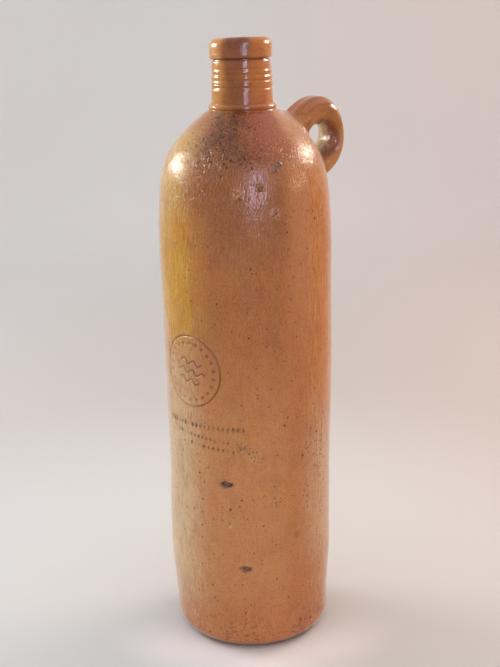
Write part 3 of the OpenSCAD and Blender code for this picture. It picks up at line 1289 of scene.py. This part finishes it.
def small_pits(glaze):
    """Pinholes, close together on the right below the middle and few everywhere else."""
    pitted = glaze.side(32, 32, 12, glaze.band(60, 78, 104, 124))
    distance, chance = glaze.scattered(glaze.drift(1.1, 1.0), 0.5, "Green")
    found = glaze.math("GREATER_THAN", chance, glaze.ramp(pitted, 0, 1, 0.93, 0.45))
    return glaze.times(glaze.ramp(distance, 0.4, 0.2), found, 0.55)


def glaze_roughness(glaze, bare):
    """Glossy with dull pores, duller on the collar and matt where there is no glaze."""
    gloss = glaze.noise(0.3, 3.0, 0.5)
    pores = glaze.streaks(0.6, 1.3)
    return glaze.together("MAXIMUM", (
        glaze.ramp(gloss, 0.3, 0.7, 0.06, 0.12),
        glaze.ramp(pores, 0.5, 0.62, 0.06, 0.26),
        glaze.times(bare, 0.9),
        glaze.ramp(glaze.z, COLLAR_Z, COLLAR_Z + 1, 0, 0.24),
    ))


def glaze_bump(glaze, rough, specks, pressed, loop):
    """Orange peel, lines dragged up the wall, turned lines on the neck, pits and rough places."""
    wall = glaze.ramp(glaze.z, SHOULDER_TOP + 1, SHOULDER_TOP - 5)
    peel = glaze.streaks(0.8, 1.7, 2.0, 0.5, 0.3)
    drag = glaze.streaks(0.8, 9)
    strokes = glaze.streaks(1.1, 3.4)
    scored = glaze.ramp(strokes, 0.5, 0.58)
    turning = glaze.streaks(14, 0.7, 2.0, 0.5)
    sand = glaze.noise(1.4)
    pulled = glaze.drawn((0.12, 0.9, 0.12))
    heights = (
        glaze.times(pulled, loop, 0.4),
        glaze.times(peel, glaze.ramp(wall, 0, 1, 0.05, 0.13)),
        glaze.times(drag, glaze.ramp(wall, 0, 1, 0, 0.12)),
        glaze.times(scored, wall, -0.09),
        glaze.times(sand, pressed, 0.5),
        glaze.times(turning, glaze.ramp(wall, 1, 0, 0, 0.08)),
        glaze.times(sand, rough, 0.5),
        glaze.times(specks, -0.06),
    )
    inputs = {"Strength": 1.0, "Distance": MM, "Height": glaze.together("ADD", heights)}
    return glaze.add("ShaderNodeBump", inputs).outputs["Normal"]


def glaze_material():
    """The salt glaze: the clay's colour, specks, wear, painted shade and a painted pale sheen at its
    edges.
    """
    material = bpy.data.materials.new("salt_glaze")
    glaze = Glaze(material)
    pressed, loop = glaze.stored("pressed"), glaze.stored("loop")
    spots = [glaze.near(a, z, r * 0.3, r) for a, z, r in ROUGH_PLACES]
    rough = glaze.together("MAXIMUM", spots)
    thick = glaze.side(-50, 42, 10, glaze.band(228, 255, 265, 268))
    specks = speckle_mask(glaze, thick)
    iron = glaze.mix(thick, colour(104, 54, 36), colour(44, 26, 18))
    z = glaze.z
    # Painted shade: a dark band along the bottom of the heel, where it meets the floor.
    painted_foot_shade = glaze.ramp(z, 2.4, 1.0, 0, 0.6)
    bare = glaze.ramp(z, BARE_H, BARE_H / 4)
    painted_sheen_facing = glaze.add("ShaderNodeLayerWeight", {"Blend": 0.5}).outputs["Facing"]
    tone = mottled(glaze, glaze_colour(glaze, loop), loop)
    tone = sanded(glaze, marked(glaze, tone, pressed), rough)
    tone = glaze.laid(tone, (
        (glaze.times(specks, 0.9), iron),
        # Painted shade in the creases under the collar and below the bead.
        (painted_crease_shade(glaze, loop), colour(84, 46, 34)),
        (heel_scuffs(glaze), colour(108, 64, 50)),
        (small_pits(glaze), colour(134, 70, 44)),
        (painted_foot_shade, colour(112, 66, 58)),
        # Painted reflection: a pale sheen where the surface turns away towards the edges.
        (glaze.ramp(painted_sheen_facing, 0.6, 0.95, 0, 0.45), colour(234, 208, 192)),
        (bare, colour(204, 160, 118)),
    ))
    inputs = {
        "Base Color": tone,
        "Roughness": glaze_roughness(glaze, bare),
        "IOR": 1.4,
        "Normal": glaze_bump(glaze, rough, specks, pressed, loop),
    }
    shader = glaze.add("ShaderNodeBsdfPrincipled", inputs)
    glaze.add("ShaderNodeOutputMaterial", {"Surface": shader.outputs["BSDF"]})
    return material


bpy.context.scene.view_settings.view_transform = "Standard"
add_camera()
add_stage()
add_lights()
bottle = make_bottle()
finish_mesh(bottle)
bottle.data.materials.clear()
bottle.data.materials.append(glaze_material())
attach(bottle, "root")
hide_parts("bottle")
